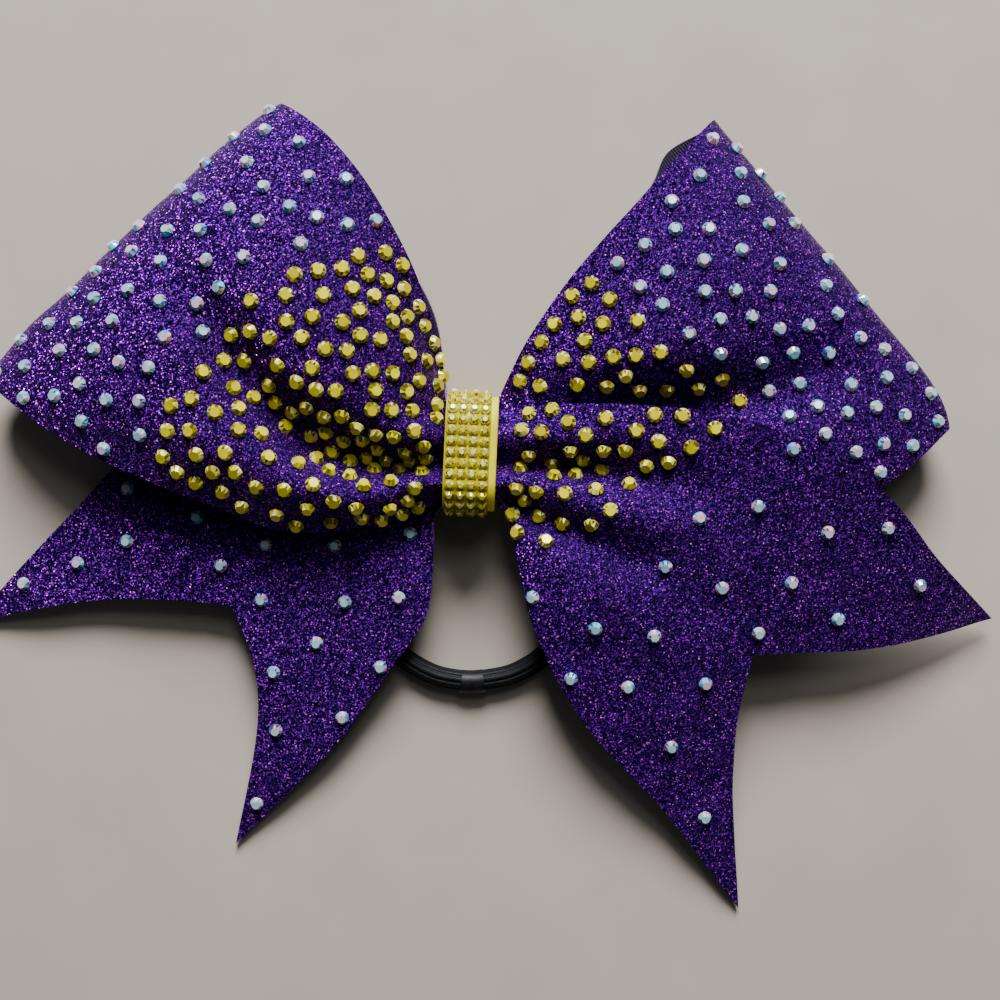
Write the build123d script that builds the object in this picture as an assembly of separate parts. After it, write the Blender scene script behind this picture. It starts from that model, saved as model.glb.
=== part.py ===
from build123d import *
import os
import random
import numpy as np

# Cheer hair bow, lying face up. Millimetres, +Z up, +X to the bow's right-hand loop as seen from the front.
# The origin is on the flat back of the centre wrap, under the middle of the knot.

# ---- driving dimensions -------------------------------------------------------------------------
PLY = 0.45                  # thickness of the glitter film, and of the woven ribbon behind it
KNOT_HALF_HEIGHT = 8.8     # half the height of the pinched ribbon
KNOT_HALF_WIDTH = 4.6       # where the loops and tails begin
PINCH_HALF_WIDTH = 4.0      # half the width of the pinched layers between them
KNOT_VALLEY = -0.29         # where across the ribbon the deep pleat lies, from -1 to 1
KNOT_PLEAT = 2.0            # half the depth of the pleats inside the knot
PINCH_REACH = 9.0           # how far outside the knot those pleats carry on
FRONT_LEVEL = 14.6          # mid heights of the three pinched layers
MIDDLE_LEVEL = 11.9
REAR_LEVEL = 9.2

CORD = 4.2                  # hair elastic diameter
CORD_HEIGHT = 3.05          # its centre where it runs behind the knot
CORD_DROP = 0.70            # how much lower its far end lies, on the table

LEAN = -2.5                 # the wrap leans this many degrees about Z
WRAP_WIDTH = 10.0
WRAP_THICK = 0.8
WRAP_HALF_HEIGHT = 11.0
WRAP_FRONT = 19.9           # height of the wrap's front face
WRAP_CORNER = 6.0
BAND_WIDTH = 8.4            # rhinestone banding, set a little left of the wrap's middle
BAND_SHIFT = -0.55
BAND_THICK = 0.5
BAND_COLUMNS = 4
BAND_PITCH = 2.08
BAND_STONE = 1.8            # diameter
BAND_ROWS = 9               # rows of stones on each side of the front's middle

TIE_WIDTH = 4.4
TIE_THICK = 0.9
TIE_BACK = 5.35
TIE_FRONT = 18.3
TIE_HALF_HEIGHT = 10.1
TIE_CORNERS = [2.0, 2.0, 5.5, 5.5]      # tight behind the knot, round in front
TIE_HEAD = (6.0, 4.8)       # width and height of the tie's head, behind the layers
TIE_HEAD_Y = 4.85
TIE_HEAD_BACK = 1.5
GLUE_SIZE = (7.0, 4.5)
GLUE_Y = -5.2

CITRINE = 3.0               # diameter of the yellow stones
CRYSTAL = 2.7               # diameter of the clear stones
STONE_HEIGHT = 1.1
BAND_STONE_HEIGHT = 0.75
STONE_TABLE = 0.56          # width of a stone's flat table, as a share of its girdle
STONE_GAP = 0.03            # glue film under a stone

os.makedirs("parts", exist_ok=True)


# ---- plan and heights of every ribbon panel -----------------------------------------------------
# A panel's low and high edges are plan curves from the knot outwards. Each heights row gives the low edge,
# the middle and the high edge. A fold is where it lies across the ribbon at the knot and far out, how soon
# it gets there, its half width, its height, how far out it peaks and how sharply it holds there.

def mirrored(points):
    return [(-x, y) for x, y in points]


FOLD_ROW = (9.5, 10.0, 10.5)
LOOP_REACH = (0.0, 0.30, 1.0, 1.0)
REAR_REACH = (0.0, 0.45, 1.0, 1.0)
TAIL_REACH = (0.0, 1 / 3, 2 / 3, 1.0)
START_LOW = (KNOT_HALF_WIDTH, -KNOT_HALF_HEIGHT)
START_HIGH = (KNOT_HALF_WIDTH, KNOT_HALF_HEIGHT)

LEFT_FRONT = {
    "low": mirrored([START_LOW, (18, -13.5), (32, -15), (53, -8.5), (79, 3.5), (95.5, 15.5)]),
    "high": mirrored([START_HIGH, (6, 19), (9.5, 31), (15, 43), (26, 58.5), (38.5, 68.4)]),
    "reach": LOOP_REACH,
    "heights": [(FRONT_LEVEL,) * 3, (19, 31, 24), (22, 31, 29), FOLD_ROW],
    "folds": [
        (-0.29, -0.32, 1.0, 0.21, -8.8, 0.22, 3),
        (-0.75, 1.5, 2.0, 0.15, -4.5, 0.52, 8),
        (-0.68, -0.66, 1.0, 0.18, 2.0, 0.22, 2),
        (1.0, 1.0, 1.0, 0.3, -6.0, 0.17, 2),
        (-1.0, -1.0, 1.0, 0.18, -3.0, 0.25, 2),
    ],
    "corners": (0.015, 0.025),
}
LEFT_REAR = {
    "low": mirrored([START_LOW, (30, -11), (55, -5), (78, 5), (95.5, 15.5)]),
    "high": mirrored([START_HIGH, (7.5, 28), (15, 41), (26, 56), (38.5, 68.4)]),
    "reach": REAR_REACH,
    "heights": [(REAR_LEVEL,) * 3, (10.5, 13.5, 18), (-11, -12, -14), FOLD_ROW],
    "folds": [],
    "corners": (0.015, 0.025),
}
RIGHT_FRONT = {
    "low": [START_LOW, (20, -14), (40, -16.5), (60, -14.5), (78, -7), (95.6, 6.9)],
    "high": [START_HIGH, (11, 21.5), (19.5, 33.5), (31, 46.5), (47, 64.5)],
    "reach": LOOP_REACH,
    "heights": [(MIDDLE_LEVEL,) * 3, (12, 20, 19), (17, 30, 28), FOLD_ROW],
    "folds": [
        (0.55, -1.0, 1.0, 0.2, -7.0, 0.5, 5),
        (-0.3, -0.38, 1.0, 0.28, -4.4, 0.24, 2),
    ],
    "corners": (0.03, 0.0),
}
RIGHT_REAR = {
    "low": [START_LOW, (35, -13), (60, -11), (80, -3), (95.6, 6.9)],
    "high": [START_HIGH, (12, 22), (30, 46), (36.5, 55), (39, 60.5), (44, 63.6), (47, 64.5)],
    "reach": REAR_REACH,
    "heights": [(REAR_LEVEL,) * 3, (10.5, 13.5, 18), (-11, -12, -14), FOLD_ROW],
    "folds": [],
    "corners": (0.03, 0.0),
}
LEFT_TAIL = {
    "low": mirrored([START_LOW, (7, -12), (7.3, -18), (9, -32), (15, -41), (25, -55), (47.5, -78)]),
    "high": mirrored([START_HIGH, (30, 9), (50, 7), (62, 3.5), (80.5, -13), (100.7, -33.8)]),
    "reach": TAIL_REACH,
    "heights": [(MIDDLE_LEVEL,) * 3, (8, 10, 10), (6, 7.5, 8), (0.9, 3.5, 0.9)],
    "folds": [],
    "corners": (0.0, 0.0),
    "notch": (-0.03, 0.38, -0.24, -0.08),
}
RIGHT_TAIL = {
    "low": [START_LOW, (7, -12), (9, -20.5), (12, -32.5), (20, -49.5), (38.5, -71), (53.5, -91)],
    "high": [START_HIGH, (29.5, 9), (52, 6), (66.5, 0), (78, -7), (91, -21), (103.5, -32.5)],
    "reach": TAIL_REACH,
    "heights": [(FRONT_LEVEL,) * 3, (14, 26, 27), (9, 14, 24), (0.9, 3, 3.5)],
    "folds": [
        (-0.29, 0.5, 0.12, 0.19, -6.8, 0.2, 3),
        (-0.85, 0.06, 0.2, 0.17, -4.0, 0.24, 3),
    ],
    "corners": (0.0, 0.0),
    "notch": (-0.08, 0.32, -0.17, 0.07),
}

# ---- the ribbon's shape: one formula for every panel --------------------------------------------
# Across the ribbon v runs from -1 (lower edge) to 1 (upper edge). Along it u runs from 0 at the knot to 1 at
# the fold or the tail's end. The functions take whole arrays too.

def along(points, f):
    p = np.array(points, float)
    run = np.concatenate([[0.0], np.cumsum(np.linalg.norm(np.diff(p, axis=0), axis=1))])
    slope = np.gradient(p, run, axis=0)
    at = np.clip(f, 0, 1) * run[-1]
    i = np.clip(np.searchsorted(run, at, side="right") - 1, 0, len(p) - 2)
    step = (run[i + 1] - run[i])[..., None]
    t = (at - run[i])[..., None] / step
    ease = t * t * (3 - 2 * t)
    pull_in = step * t * (1 - t) ** 2
    pull_out = step * t * t * (1 - t)
    return p[i] * (1 - ease) + p[i + 1] * ease + slope[i] * pull_in - slope[i + 1] * pull_out


def bezier(rows, u):
    a, b, c, d = rows
    w = 1 - u
    return a * w ** 3 + 3 * b * w * w * u + 3 * c * w * u * u + d * u ** 3


def across(row, v):
    low, mid, high = row
    return mid + (high - low) / 2 * v + ((high + low) / 2 - mid) * v * v


def pleat(v):
    span = np.where(v < KNOT_VALLEY, 1 + KNOT_VALLEY, 1 - KNOT_VALLEY)
    return -np.cos(2 * np.pi * (v - KNOT_VALLEY) / span)


def pinch(x, y):
    aside = np.maximum(abs(x) - KNOT_HALF_WIDTH, 0.0)
    above = np.maximum(abs(y) - KNOT_HALF_HEIGHT, 0.0)
    height = np.clip(y / KNOT_HALF_HEIGHT, -1.0, 1.0)
    return KNOT_PLEAT * pleat(height) * np.exp(-(aside ** 2 + above ** 2) / PINCH_REACH ** 2)


def folded(panel, f, v):
    """Creases that run out from the knot and fade towards the far end, each highest or deepest at its peak."""
    lift = 0.0 * v
    for v_knot, v_out, bend, width, height, peak, hold in panel["folds"]:
        line = v_knot + (v_out - v_knot) * (1 - np.exp(-f / bend))
        run = f / peak
        lift = lift + height * (run * np.exp(1 - run)) ** hold * np.exp(-((v - line) / width) ** 2)
    return lift * (1 - f ** 8)


def panel_point(panel, u, v):
    u, v = np.broadcast_arrays(np.asarray(u, float), np.asarray(v, float))
    f = bezier(panel["reach"], u)
    low_corner, high_corner = panel["corners"]
    corner = np.where(v < 0, low_corner, high_corner) * abs(v) ** 8
    plan = f * (1 - corner * f ** 3)
    low = along(panel["low"], plan)
    high = along(panel["high"], plan)
    place = low + (high - low) * ((1 + v) / 2)[..., None]
    x, y = place[..., 0], place[..., 1]
    z = bezier([across(row, v) for row in panel["heights"]], u)
    z = z + folded(panel, f, v) + pinch(x, y)
    return np.stack([x, y, z], axis=-1)


def loop_point(front, rear, s, v):
    s, v = np.broadcast_arrays(np.asarray(s, float), np.asarray(v, float))
    ahead = panel_point(front, np.minimum(s, 1), v)
    behind = panel_point(rear, np.minimum(2 - s, 1), v)
    return np.where((s <= 1)[..., None], ahead, behind)


def surface_normal(point, s, v, s_end):
    step = 1e-3
    s0, s1 = np.maximum(s - step, 0.0), np.minimum(s + step, s_end)
    v0, v1 = np.maximum(v - step, -1.0), np.minimum(v + step, 1.0)
    normal = np.cross(point(s1, v) - point(s0, v), point(s, v1) - point(s, v0))
    return normal / np.linalg.norm(normal, axis=-1, keepdims=True)


SKIN_TOLERANCE = 0.05


def skin(point, s_values, v_values, offset, turn):
    """One smooth face at some distance outside a surface. Turn is 1 or -1, and says which side is outside."""
    s, v = np.meshgrid(s_values, v_values, indexing="ij")
    places = point(s, v) + surface_normal(point, s, v, s_values[-1]) * turn * offset
    rows = [[tuple(map(float, place)) for place in row] for row in places]
    return Face.make_surface_from_array_of_points(rows, tol=SKIN_TOLERANCE, min_deg=3)


def ply_solid(point, s_values, v_values, inner, outer, turn):
    """A thin curved sheet between two offsets of one surface."""
    skins = [skin(point, s_values, v_values, offset, turn) for offset in (inner, outer)]
    sides = [Face.make_surface_from_curves(a, b) for a, b in zip(skins[0].edges(), skins[1].edges())]
    solid = Solid(Shell([*skins, *sides]))
    return solid if solid.volume > 0 else Solid(solid.wrapped.Reversed())


def keep(name, shapes, colour):
    """Write one node: a group of separate solids."""
    shapes = shapes if isinstance(shapes, list) else [shapes]
    solids = [solid for shape in shapes for solid in shape.solids()]
    node = solids[0] if len(solids) == 1 else Compound(children=solids)
    node.label = name
    node.color = Color(*colour)
    export_step(node, f"parts/{name}.step")
    print(name, len(solids), round(sum(s.volume for s in solids), 1))


# ---- ribbon sections ----------------------------------------------------------------------------

LOOP_ACROSS = np.linspace(-1, 1, 49)
LOOP_STEPS = np.linspace(0, 2, 61)
TAIL_ACROSS = np.linspace(-1, 1, 49)
TAIL_STEPS = np.linspace(0, 1, 61) ** 1.2       # closer together at the knot, where the folds are


def left_loop(s, v):
    return loop_point(LEFT_FRONT, LEFT_REAR, s, v)


def right_loop(s, v):
    return loop_point(RIGHT_FRONT, RIGHT_REAR, s, v)


def left_tail(s, v):
    return panel_point(LEFT_TAIL, s, v)


def right_tail(s, v):
    return panel_point(RIGHT_TAIL, s, v)


def plies(name, point, steps, widths, turn):
    """The glitter film outside and the woven ribbon inside, face to face on one surface."""
    film = ply_solid(point, steps, widths, 0, PLY, turn)
    woven = ply_solid(point, steps, widths, -PLY, 0, turn)
    return {f"{name}_glitter": film, f"{name}_backing": woven}


def tail_end(panel, v):
    """How far the tail reaches at v: its tips are at 1 and the notch cuts back to 1 - depth."""
    centre, depth, low_bulge, high_bulge = panel["notch"]
    bulge = np.where(v < centre, low_bulge, high_bulge)
    a = abs(v - centre) / np.where(v < centre, 1 + centre, 1 - centre)
    return 1 - depth * (1 - a) + depth * bulge * np.sin(np.pi * a)


CUTTER_DEPTH = 20
CUTTER_HEIGHT = 60


def notch_cutter(panel):
    """The V cut out of the tail's end, as a tall prism with two curved sides."""
    centre = panel["notch"][0]
    sides = []
    for tip in (-1.0, 1.0):
        v = np.linspace(centre, tip, 5)
        sides.append([tuple(map(float, place[:2])) for place in panel_point(panel, tail_end(panel, v), v)])
    low_side, high_side = sides
    outward = np.array(low_side[-1]) + np.array(high_side[-1]) - 2 * np.array(low_side[0])
    beyond = [tuple(np.array(side[-1]) + outward) for side in sides]
    edges = [
        Spline(*low_side),
        Line(low_side[-1], beyond[0]),
        Line(beyond[0], beyond[1]),
        Line(beyond[1], high_side[-1]),
        Spline(*high_side[::-1]),
    ]
    return Pos(0, 0, -CUTTER_DEPTH) * extrude(make_face(edges), amount=CUTTER_HEIGHT, dir=(0, 0, 1))


def ribbon_sections():
    nodes = plies("left_loop", left_loop, LOOP_STEPS, LOOP_ACROSS, -1)
    nodes |= plies("right_loop", right_loop, LOOP_STEPS, LOOP_ACROSS, 1)
    for name, tail, panel, turn in (
        ("left_tail", left_tail, LEFT_TAIL, -1), ("right_tail", right_tail, RIGHT_TAIL, 1),
    ):
        cutter = notch_cutter(panel)
        for node, ply in plies(name, tail, TAIL_STEPS, TAIL_ACROSS, turn).items():
            nodes[node] = (ply - cutter).solids().sort_by(SortBy.VOLUME)[-1]
    return nodes


def knot_layer(level):
    """One pinched layer of the ribbon under the wrap, both plies together."""
    def point(s, v):
        x = (s - 0.5) * 2 * PINCH_HALF_WIDTH
        return np.stack([x, v * KNOT_HALF_HEIGHT, level + KNOT_PLEAT * pleat(v)], axis=-1)
    return ply_solid(point, np.linspace(0, 1, 3), np.linspace(-1, 1, 25), -PLY, PLY, 1)


# ---- centre wrap --------------------------------------------------------------------------------

def wrap_profile(grow):
    """The wrap's closed outline in its Y-Z section, at a distance inside (negative) its outer face."""
    height = 2 * (WRAP_HALF_HEIGHT + grow)
    depth = WRAP_FRONT + 2 * grow
    corner = WRAP_CORNER + grow
    return Pos(0, WRAP_FRONT / 2) * RectangleRounded(height, depth, corner)


def lean(shape):
    return Rot(0, 0, LEAN) * shape


def strip_round(inner, outer, width, shift):
    """A strip of some width round the knot, between two offsets of the wrap's outline."""
    section = wrap_profile(outer) - wrap_profile(inner)
    return extrude(Plane.YZ.offset(shift - width / 2) * section, amount=width)


def wrap_ribbon():
    return lean(strip_round(-WRAP_THICK, 0, WRAP_WIDTH, 0))


def banding_base():
    """The rhinestone mesh strip lies on the wrap everywhere but on the flat back."""
    strip = strip_round(0, BAND_THICK, BAND_WIDTH, BAND_SHIFT)
    reach = 4 * WRAP_HALF_HEIGHT
    back = Pos(0, 0, (WRAP_CORNER - reach) / 2) * Box(reach, reach, reach)
    return lean(strip - back)


def band_path(distance):
    """A point on the banding's outer face and its outward direction, from the front's middle downwards."""
    half = WRAP_HALF_HEIGHT + BAND_THICK
    radius = WRAP_CORNER + BAND_THICK
    top = WRAP_FRONT + BAND_THICK
    flat = half - radius
    quarter = radius * np.pi / 2
    side = 1 if distance >= 0 else -1
    d = abs(distance)
    if d <= flat:
        return np.array([0, -side * d, top]), np.array([0.0, 0, 1])
    if d <= flat + quarter:
        a = (d - flat) / radius
        out = np.array([0, -side * np.sin(a), np.cos(a)])
        return np.array([0, -side * flat, top - radius]) + radius * out, out
    drop = d - flat - quarter
    return np.array([0, -side * half, top - radius - drop]), np.array([0.0, -side, 0])


def stone(diameter, height, place, normal):
    """A cut stone: a flat table and a sloping crown, seated on a point of a surface."""
    seat = Plane(tuple(map(float, place + normal * STONE_GAP)), z_dir=tuple(map(float, normal)))
    radius = diameter / 2
    return seat * Cone(radius, radius * STONE_TABLE, height, align=(Align.CENTER, Align.CENTER, Align.MIN))


def banding_stones():
    stones = []
    for row in range(-BAND_ROWS, BAND_ROWS + 1):
        centre, normal = band_path(row * BAND_PITCH)
        for column in range(BAND_COLUMNS):
            offset = (column - (BAND_COLUMNS - 1) / 2) * BAND_PITCH + BAND_SHIFT
            place = centre + np.array([offset, 0, 0])
            stones.append(lean(stone(BAND_STONE, BAND_STONE_HEIGHT, place, normal)))
    return stones


def wrap_glue():
    """Glue between the wrap's closed ends and the cable tie, behind the knot and above the elastic."""
    depth = TIE_BACK - WRAP_THICK
    return lean(Pos(0, GLUE_Y, WRAP_THICK + depth / 2) * Box(*GLUE_SIZE, depth))


def cable_tie():
    """A strap round the pinched layers, with its head behind them, beside the elastic."""
    y, low, high = TIE_HALF_HEIGHT, TIE_BACK, TIE_FRONT
    corners = [(-y, low), (y, low), (y, high), (-y, high)]
    outer = make_face(FilletPolyline(*corners, radius=TIE_CORNERS, close=True))
    inner = offset(outer, amount=-TIE_THICK)
    strap = extrude(Plane.YZ.offset(-TIE_WIDTH / 2) * (outer - inner), amount=TIE_WIDTH)
    front = TIE_BACK + TIE_THICK / 2
    head_depth = front - TIE_HEAD_BACK
    head = Pos(0, TIE_HEAD_Y, front - head_depth / 2) * Box(*TIE_HEAD, head_depth)
    return strap + head


# ---- hair elastic -------------------------------------------------------------------------------
# The cord runs straight through the tunnel behind the knot and hangs below it in a loop. Its two ends meet in
# a bonded joint at the bottom. The points are the corners of its route; the far end dips to the table.

CORD_ROUTE = [
    (-2.2, -45.3), (-9, -43.9), (-16.6, -38.6), (-22.2, -30), (-23.6, -19), (-19.7, -8), (-11, 0),
    (10.8, 0), (19, -7.6), (23.4, -17.6), (22.6, -29), (17, -38.3), (9.5, -43.8), (2.4, -45.2),
]
JOINT_DIAMETER = 4.7


def cord_points():
    far = min(y for x, y in CORD_ROUTE)
    return [Vector(x, y, CORD_HEIGHT - CORD_DROP * y / far) for x, y in CORD_ROUTE]


def cord_radii(points):
    radii = []
    for before, corner, after in zip(points, points[1:], points[2:]):
        run_in = corner - before
        run_out = after - corner
        half_turn = np.radians(run_in.get_angle(run_out)) / 2
        radii.append(float(0.45 * min(run_in.length, run_out.length) / np.tan(half_turn)))
    return radii


def hair_elastic():
    points = cord_points()
    radii = cord_radii(points)
    path = FilletPolyline(*points, radius=radii)
    section = Plane(path @ 0, z_dir=path % 0) * Circle(CORD / 2)
    tube = sweep(section, path=path)
    print("cord radii", [round(r, 1) for r in radii])
    print("cord length", round(path.length, 1), "volume", round(tube.volume / (np.pi * CORD ** 2 / 4), 1))
    return tube, path


def elastic_joint(path):
    """The short bonded sleeve between the cord's two ends."""
    bridge = Spline([path @ 1, path @ 0], tangents=[path % 1, path % 0])
    section = Plane(bridge @ 0, z_dir=bridge % 0) * Circle(JOINT_DIAMETER / 2)
    return sweep(section, path=bridge)


# ---- stones on the ribbon -----------------------------------------------------------------------

EDGE_ROOM = 0.94            # stones keep off the ribbon's very edges
FOLD_ROOM = 0.988           # and off the middle of a loop's fold
THROWS = 6000


def scatter(panel, seed, tight, loose, zone, taken):
    """Places thrown at random over a panel's zone. Their spacing widens from tight at the knot to loose."""
    throw = random.Random(seed)
    draws = np.array([(throw.random(), (2 * throw.random() - 1) * EDGE_ROOM) for _ in range(THROWS)])
    u, v = draws.T
    places = panel_point(panel, u, v)
    f = bezier(panel["reach"], u)
    allowed = zone(f, v, places)
    spacing = tight + (loose - tight) * f
    others = list(panel_point(panel, *np.array(taken).T)) if taken else []
    seats = []
    for seat, place, room in zip(draws[allowed], places[allowed], spacing[allowed]):
        if all(np.linalg.norm(other - place) >= room for other in others):
            others.append(place)
            seats.append(tuple(seat))
    return seats


def left_citrine(f, v, place):
    return (f > 0.06) & (f < 0.66 - 0.07 * v - 0.17 * v * v)


def left_crystal(f, v, place):
    return (f > 0.60 - 0.07 * v - 0.17 * v * v) & (f < FOLD_ROOM)


def clear_of_tail(place):
    edge = np.array(RIGHT_TAIL["high"])
    return place[..., 1] > np.interp(place[..., 0], edge[:, 0], edge[:, 1]) + 3


def clear_of_loop(place):
    edge = np.array(LEFT_FRONT["low"])[::-1]
    return place[..., 1] < np.interp(place[..., 0], edge[:, 0], edge[:, 1]) - 2.5


def right_citrine(f, v, place):
    return (f > 0.06) & (f < 0.62 - 0.20 * np.maximum(v, -0.1)) & clear_of_tail(place)


def right_crystal(f, v, place):
    return (f > 0.60 - 0.20 * v) & (f < FOLD_ROOM) & clear_of_tail(place)


def right_tail_citrine(f, v, place):
    return (f > 0.05) & (f < 0.28 + 0.12 * v) & (place[..., 1] > -18)


def left_tail_crystal(f, v, place):
    return (f > 0.12) & (f < tail_end(LEFT_TAIL, v) - 0.05) & clear_of_loop(place)


def right_tail_crystal(f, v, place):
    return (f > 0.18) & (f < tail_end(RIGHT_TAIL, v) - 0.05) & ~right_tail_citrine(f, v, place)


def ribbon_seats():
    """Every ribbon stone's place along and across its panel, by colour and section."""
    citrine = {
        "left_loop": scatter(LEFT_FRONT, 3, 3.05, 4.5, left_citrine, []),
        "right_loop": scatter(RIGHT_FRONT, 7, 3.3, 5.4, right_citrine, []),
        "right_tail": scatter(RIGHT_TAIL, 11, 3.6, 5.4, right_tail_citrine, []),
    }
    crystal = {
        "left_loop": scatter(LEFT_FRONT, 5, 4.3, 5.7, left_crystal, citrine["left_loop"]),
        "right_loop": scatter(RIGHT_FRONT, 9, 4.4, 5.6, right_crystal, citrine["right_loop"]),
        "left_tail": scatter(LEFT_TAIL, 13, 9.0, 11.0, left_tail_crystal, []),
        "right_tail": scatter(RIGHT_TAIL, 17, 10.0, 12.5, right_tail_crystal, citrine["right_tail"]),
    }
    return {"citrine": citrine, "crystal": crystal}


def stone_groups():
    """One node of stones for each colour on each section."""
    surfaces = {
        "left_loop": (left_loop, 2.0, -1), "right_loop": (right_loop, 2.0, 1),
        "left_tail": (left_tail, 1.0, -1), "right_tail": (right_tail, 1.0, 1),
    }
    nodes = {}
    for colour, sections in ribbon_seats().items():
        diameter = CITRINE if colour == "citrine" else CRYSTAL
        for section, seats in sections.items():
            point, s_end, turn = surfaces[section]
            u, v = np.array(seats, float).T
            normals = surface_normal(point, u, v, s_end) * turn
            places = point(u, v) + normals * PLY
            stones = [stone(diameter, STONE_HEIGHT, place, normal) for place, normal in zip(places, normals)]
            nodes[f"{section}_{colour}"] = stones
    return nodes


# ---- write every node ---------------------------------------------------------------------------

PURPLE = (0.22, 0.05, 0.42)
DARK_PURPLE = (0.10, 0.03, 0.20)
YELLOW = (0.90, 0.82, 0.10)
CLEAR = (0.80, 0.88, 0.95)
BLACK = (0.03, 0.03, 0.03)
WHITE = (0.90, 0.90, 0.88)


def main():
    for name, solid in ribbon_sections().items():
        keep(name, solid, PURPLE if name.endswith("glitter") else DARK_PURPLE)
    for name, level in (("front", FRONT_LEVEL), ("middle", MIDDLE_LEVEL), ("rear", REAR_LEVEL)):
        keep(f"knot_pleats_{name}", knot_layer(level), DARK_PURPLE)
    keep("cable_tie", cable_tie(), WHITE)
    keep("wrap_ribbon", wrap_ribbon(), YELLOW)
    keep("wrap_glue", wrap_glue(), WHITE)
    keep("banding_mesh", banding_base(), YELLOW)
    keep("banding_stones", banding_stones(), YELLOW)
    tube, path = hair_elastic()
    keep("hair_elastic", tube, BLACK)
    keep("elastic_joint", elastic_joint(path), BLACK)
    for name, stones in stone_groups().items():
        keep(name, stones, YELLOW if name.endswith("citrine") else CLEAR)


main()
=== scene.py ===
import math
import random

import bmesh
import bpy
import numpy as np
from mathutils import Matrix, Vector


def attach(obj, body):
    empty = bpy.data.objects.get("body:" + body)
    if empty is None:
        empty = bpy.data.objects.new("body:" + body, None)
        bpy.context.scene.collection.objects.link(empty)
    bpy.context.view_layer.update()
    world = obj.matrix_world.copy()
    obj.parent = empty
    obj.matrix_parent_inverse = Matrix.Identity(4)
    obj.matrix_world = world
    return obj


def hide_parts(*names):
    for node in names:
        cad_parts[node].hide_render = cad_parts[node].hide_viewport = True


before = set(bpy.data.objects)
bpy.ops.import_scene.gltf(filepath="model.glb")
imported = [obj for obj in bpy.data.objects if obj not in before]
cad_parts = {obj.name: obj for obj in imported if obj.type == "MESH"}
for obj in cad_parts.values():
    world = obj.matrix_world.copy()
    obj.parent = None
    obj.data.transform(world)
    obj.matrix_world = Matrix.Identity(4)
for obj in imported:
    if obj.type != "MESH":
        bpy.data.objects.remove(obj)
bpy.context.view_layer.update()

# Cheer hair bow. The ribbon's shape is worked out in millimetres by the same formula as the CAD part, and
# every mesh is written in metres in the CAD model's own frame.

MM = 0.001

# ---- the bow's dimensions, in millimetres -------------------------------------------------------
RIBBON = 76.2
PLY = 0.45
KNOT_HALF_HEIGHT = 8.8
KNOT_HALF_WIDTH = 4.6
KNOT_VALLEY = -0.29
KNOT_PLEAT = 2.0
PINCH_REACH = 9.0
FRONT_LEVEL = 14.6
MIDDLE_LEVEL = 11.9
REAR_LEVEL = 9.2
CORD = 4.2
CORD_HEIGHT = 3.05
CORD_DROP = 0.70
LEAN = math.radians(-2.5)
WRAP_WIDTH = 10.0
WRAP_THICK = 0.8
WRAP_HALF_HEIGHT = 11.0
WRAP_FRONT = 19.9
WRAP_CORNER = 6.0
BAND_WIDTH = 8.4
BAND_SHIFT = -0.55
BAND_THICK = 0.5
BAND_COLUMNS = 4
BAND_PITCH = 2.08
BAND_ROWS = 9
BAND_STONE = 1.8
CITRINE = 3.0
CRYSTAL = 2.7
STONE_HEIGHT = 1.1
STONE_GAP = 0.03
BAND_STONE_HEIGHT = 0.75


def mirrored(points):
    return [(-x, y) for x, y in points]


FOLD_ROW = (9.5, 10.0, 10.5)
LOOP_REACH = (0.0, 0.30, 1.0, 1.0)
REAR_REACH = (0.0, 0.45, 1.0, 1.0)
TAIL_REACH = (0.0, 1 / 3, 2 / 3, 1.0)
START_LOW = (KNOT_HALF_WIDTH, -KNOT_HALF_HEIGHT)
START_HIGH = (KNOT_HALF_WIDTH, KNOT_HALF_HEIGHT)

LEFT_FRONT = {
    "low": mirrored([START_LOW, (18, -13.5), (32, -15), (53, -8.5), (79, 3.5), (95.5, 15.5)]),
    "high": mirrored([START_HIGH, (6, 19), (9.5, 31), (15, 43), (26, 58.5), (38.5, 68.4)]),
    "reach": LOOP_REACH,
    "heights": [(FRONT_LEVEL,) * 3, (19, 31, 24), (22, 31, 29), FOLD_ROW],
    "folds": [
        (-0.29, -0.32, 1.0, 0.21, -8.8, 0.22, 3),
        (-0.75, 1.5, 2.0, 0.15, -4.5, 0.52, 8),
        (-0.68, -0.66, 1.0, 0.18, 2.0, 0.22, 2),
        (1.0, 1.0, 1.0, 0.3, -6.0, 0.17, 2),
        (-1.0, -1.0, 1.0, 0.18, -3.0, 0.25, 2),
    ],
    "corners": (0.015, 0.025),
}
LEFT_REAR = {
    "low": mirrored([START_LOW, (30, -11), (55, -5), (78, 5), (95.5, 15.5)]),
    "high": mirrored([START_HIGH, (7.5, 28), (15, 41), (26, 56), (38.5, 68.4)]),
    "reach": REAR_REACH,
    "heights": [(REAR_LEVEL,) * 3, (10.5, 13.5, 18), (-11, -12, -14), FOLD_ROW],
    "folds": [],
    "corners": (0.015, 0.025),
}
RIGHT_FRONT = {
    "low": [START_LOW, (20, -14), (40, -16.5), (60, -14.5), (78, -7), (95.6, 6.9)],
    "high": [START_HIGH, (11, 21.5), (19.5, 33.5), (31, 46.5), (47, 64.5)],
    "reach": LOOP_REACH,
    "heights": [(MIDDLE_LEVEL,) * 3, (12, 20, 19), (17, 30, 28), FOLD_ROW],
    "folds": [
        (0.55, -1.0, 1.0, 0.2, -7.0, 0.5, 5),
        (-0.3, -0.38, 1.0, 0.28, -4.4, 0.24, 2),
    ],
    "corners": (0.03, 0.0),
}
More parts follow.
